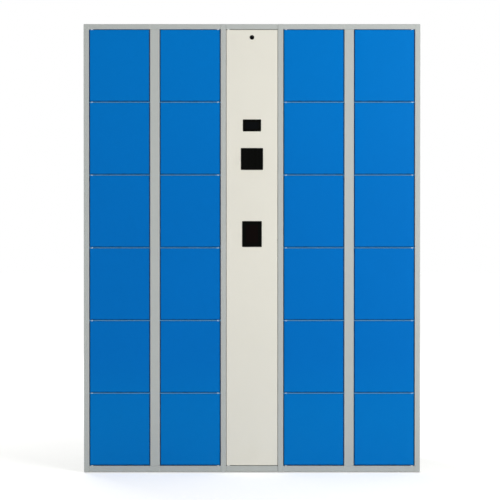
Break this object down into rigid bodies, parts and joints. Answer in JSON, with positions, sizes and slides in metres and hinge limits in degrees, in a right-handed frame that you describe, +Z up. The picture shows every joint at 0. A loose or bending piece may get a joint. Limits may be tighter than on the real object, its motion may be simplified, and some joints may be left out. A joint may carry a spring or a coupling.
{
  "type": "smart locker",
  "caption": "Free-standing steel locker with rows of blue hinged doors in two grey cabinets and a cream control column with camera, display, keypad and scanner windows.",
  "frame": {"origin": "on the floor under the middle of the locker's footprint", "axes": "+X to the right seen from the front, +Y from the front to the back, +Z up"},
  "size_m": [1.35, 0.46, 1.8],
  "materials": {
    "frame_grey": "powder coat, fine orange peel",
    "door_blue": "powder coat, satin",
    "panel_cream": "powder coat, satin",
    "zinc_steel": "zinc plated",
    "nylon_white": "moulded nylon",
    "bezel_black": "fine moulded grain",
    "window_black": "polished dark acrylic",
    "lens_glass": "coated lens",
    "lock_black": "moulded housing",
    "board_green": "circuit board",
    "supply_metal": "bare sheet case",
    "grommet_rubber": "soft rubber",
    "foot_plastic": "moulded foot"
  },
  "bodies": {
    "cabinet": {"left_outer_side": "frame_grey", "left_inner_side": "frame_grey", "left_lock_channel": "frame_grey", "left_top": "frame_grey", "left_base": "frame_grey", "left_back": "frame_grey", "left_shelves": "frame_grey", "right_outer_side": "frame_grey", "right_inner_side": "frame_grey", "right_lock_channel": "frame_grey", "right_top": "frame_grey", "right_base": "frame_grey", "right_back": "frame_grey", "right_shelves": "frame_grey", "column_partitions": "frame_grey", "door_crossbars": "frame_grey", "control_top": "frame_grey", "control_base": "frame_grey", "control_back": "frame_grey", "lock_units": "lock_black", "hinge_pins": "zinc_steel", "hinge_bushes": "nylon_white", "control_board": "board_green", "power_supply": "supply_metal", "cable_grommet": "grommet_rubber", "levelling_feet": "foot_plastic", "joining_bolts": "zinc_steel"},
    "door_01": {"door_01": "door_blue"},
    "door_02": {"door_02": "door_blue"},
    "door_03": {"door_03": "door_blue"},
    "door_04": {"door_04": "door_blue"},
    "door_05": {"door_05": "door_blue"},
    "door_06": {"door_06": "door_blue"},
    "door_07": {"door_07": "door_blue"},
    "door_08": {"door_08": "door_blue"},
    "door_09": {"door_09": "door_blue"},
    "door_10": {"door_10": "door_blue"},
    "door_11": {"door_11": "door_blue"},
    "door_12": {"door_12": "door_blue"},
    "door_13": {"door_13": "door_blue"},
    "door_14": {"door_14": "door_blue"},
    "door_15": {"door_15": "door_blue"},
    "door_16": {"door_16": "door_blue"},
    "door_17": {"door_17": "door_blue"},
    "door_18": {"door_18": "door_blue"},
    "door_19": {"door_19": "door_blue"},
    "door_20": {"door_20": "door_blue"},
    "door_21": {"door_21": "door_blue"},
    "door_22": {"door_22": "door_blue"},
    "door_23": {"door_23": "door_blue"},
    "door_24": {"door_24": "door_blue"},
    "service_door": {"service_door": "panel_cream", "display_bezel": "bezel_black", "display_glass": "window_black", "keypad_bezel": "bezel_black", "keypad_glass": "window_black", "scanner_bezel": "bezel_black", "scanner_glass": "window_black", "camera_housing": "bezel_black", "camera_lens": "lens_glass"}
  },
  "joints": [
    {"name": "door_01_hinge", "type": "hinge", "parent": "cabinet", "child": "door_01", "pos_m": [-0.6425, -0.223, 1.633], "axis": [0, 0, -1], "range_deg": [0, 95]},
    {"name": "door_02_hinge", "type": "hinge", "parent": "cabinet", "child": "door_02", "pos_m": [-0.1365, -0.223, 1.633], "axis": [0, 0, 1], "range_deg": [0, 95]},
    {"name": "door_03_hinge", "type": "hinge", "parent": "cabinet", "child": "door_03", "pos_m": [0.1365, -0.223, 1.633], "axis": [0, 0, -1], "range_deg": [0, 95]},
    {"name": "door_04_hinge", "type": "hinge", "parent": "cabinet", "child": "door_04", "pos_m": [0.6425, -0.223, 1.633], "axis": [0, 0, 1], "range_deg": [0, 95]},
    {"name": "door_05_hinge", "type": "hinge", "parent": "cabinet", "child": "door_05", "pos_m": [-0.6425, -0.223, 1.341], "axis": [0, 0, -1], "range_deg": [0, 95]},
    {"name": "door_06_hinge", "type": "hinge", "parent": "cabinet", "child": "door_06", "pos_m": [-0.1365, -0.223, 1.341], "axis": [0, 0, 1], "range_deg": [0, 95]},
    {"name": "door_07_hinge", "type": "hinge", "parent": "cabinet", "child": "door_07", "pos_m": [0.1365, -0.223, 1.341], "axis": [0, 0, -1], "range_deg": [0, 95]},
    {"name": "door_08_hinge", "type": "hinge", "parent": "cabinet", "child": "door_08", "pos_m": [0.6425, -0.223, 1.341], "axis": [0, 0, 1], "range_deg": [0, 95]},
    {"name": "door_09_hinge", "type": "hinge", "parent": "cabinet", "child": "door_09", "pos_m": [-0.6425, -0.223, 1.049], "axis": [0, 0, -1], "range_deg": [0, 95]},
    {"name": "door_10_hinge", "type": "hinge", "parent": "cabinet", "child": "door_10", "pos_m": [-0.1365, -0.223, 1.049], "axis": [0, 0, 1], "range_deg": [0, 95]},
    {"name": "door_11_hinge", "type": "hinge", "parent": "cabinet", "child": "door_11", "pos_m": [0.1365, -0.223, 1.049], "axis": [0, 0, -1], "range_deg": [0, 95]},
    {"name": "door_12_hinge", "type": "hinge", "parent": "cabinet", "child": "door_12", "pos_m": [0.6425, -0.223, 1.049], "axis": [0, 0, 1], "range_deg": [0, 95]},
    {"name": "door_13_hinge", "type": "hinge", "parent": "cabinet", "child": "door_13", "pos_m": [-0.6425, -0.223, 0.757], "axis": [0, 0, -1], "range_deg": [0, 95]},
    {"name": "door_14_hinge", "type": "hinge", "parent": "cabinet", "child": "door_14", "pos_m": [-0.1365, -0.223, 0.757], "axis": [0, 0, 1], "range_deg": [0, 95]},
    {"name": "door_15_hinge", "type": "hinge", "parent": "cabinet", "child": "door_15", "pos_m": [0.1365, -0.223, 0.757], "axis": [0, 0, -1], "range_deg": [0, 95]},
    {"name": "door_16_hinge", "type": "hinge", "parent": "cabinet", "child": "door_16", "pos_m": [0.6425, -0.223, 0.757], "axis": [0, 0, 1], "range_deg": [0, 95]},
    {"name": "door_17_hinge", "type": "hinge", "parent": "cabinet", "child": "door_17", "pos_m": [-0.6425, -0.223, 0.465], "axis": [0, 0, -1], "range_deg": [0, 95]},
    {"name": "door_18_hinge", "type": "hinge", "parent": "cabinet", "child": "door_18", "pos_m": [-0.1365, -0.223, 0.465], "axis": [0, 0, 1], "range_deg": [0, 95]},
    {"name": "door_19_hinge", "type": "hinge", "parent": "cabinet", "child": "door_19", "pos_m": [0.1365, -0.223, 0.465], "axis": [0, 0, -1], "range_deg": [0, 95]},
    {"name": "door_20_hinge", "type": "hinge", "parent": "cabinet", "child": "door_20", "pos_m": [0.6425, -0.223, 0.465], "axis": [0, 0, 1], "range_deg": [0, 95]},
    {"name": "door_21_hinge", "type": "hinge", "parent": "cabinet", "child": "door_21", "pos_m": [-0.6425, -0.223, 0.173], "axis": [0, 0, -1], "range_deg": [0, 95]},
    {"name": "door_22_hinge", "type": "hinge", "parent": "cabinet", "child": "door_22", "pos_m": [-0.1365, -0.223, 0.173], "axis": [0, 0, 1], "range_deg": [0, 95]},
    {"name": "door_23_hinge", "type": "hinge", "parent": "cabinet", "child": "door_23", "pos_m": [0.1365, -0.223, 0.173], "axis": [0, 0, -1], "range_deg": [0, 95]},
    {"name": "door_24_hinge", "type": "hinge", "parent": "cabinet", "child": "door_24", "pos_m": [0.6425, -0.223, 0.173], "axis": [0, 0, 1], "range_deg": [0, 95]},
    {"name": "service_door_hinge", "type": "hinge", "parent": "cabinet", "child": "service_door", "pos_m": [-0.0945, -0.224, 0.903], "axis": [0, 0, -1], "range_deg": [0, 90]}
  ]
}
